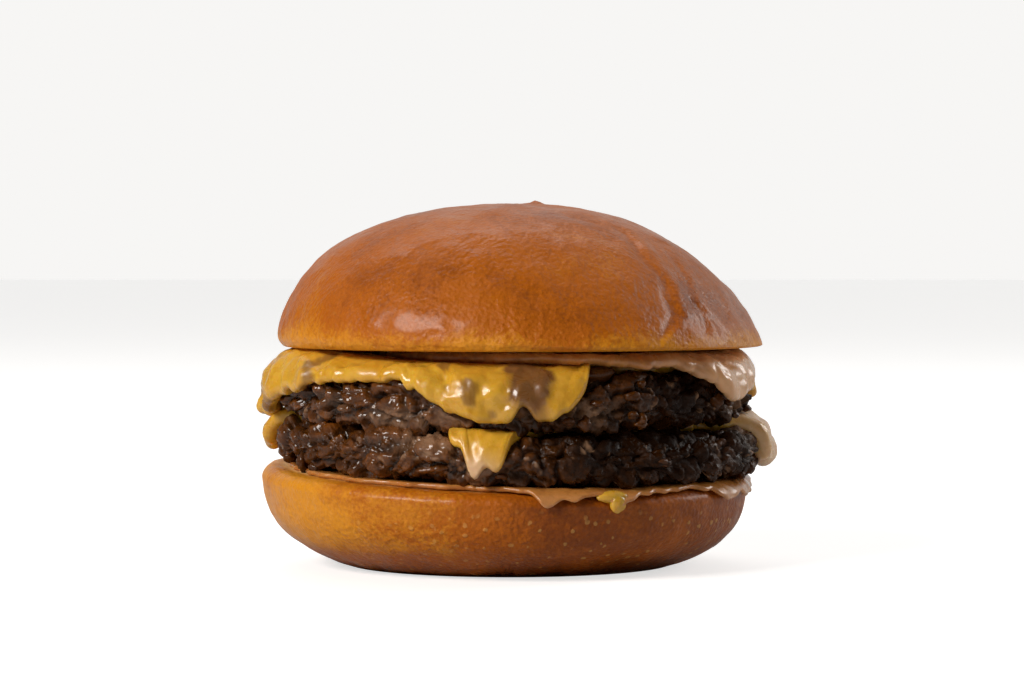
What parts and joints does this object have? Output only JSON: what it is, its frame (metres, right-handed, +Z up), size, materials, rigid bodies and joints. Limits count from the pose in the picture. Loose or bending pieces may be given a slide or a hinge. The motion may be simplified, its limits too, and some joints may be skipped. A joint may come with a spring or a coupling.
{
  "type": "cheeseburger",
  "caption": "Round layered burger: a domed glossy bun over beef patties, melted square cheese slices and sauce, on a bowl-shaped heel.",
  "frame": {"origin": "middle of the underside of the whole burger's bounding box, where it rests", "axes": "+Z up through the stack from the heel to the crown, -Y towards the front, where a corner of each cheese slice hangs, +X towards the right"},
  "size_m": [0.1144, 0.1136, 0.0796],
  "materials": {
    "bun_crust": "egg-washed baked brioche crust, golden to chestnut brown, glossy",
    "beef": "seared ground beef, dark brown, crumbly with greasy glints",
    "cheese": "melted yellow cheese slice, smooth with a soft sheen",
    "sauce": "tan burger sauce, wet and slightly see-through"
  },
  "bodies": {
    "root": {"bun_heel": "bun_crust", "sauce_lower": "sauce", "patty_lower": "beef", "cheese_lower": "cheese", "patty_upper": "beef", "cheese_upper": "cheese", "sauce_upper": "sauce", "bun_crown": "bun_crust"}
  },
  "joints": []
}
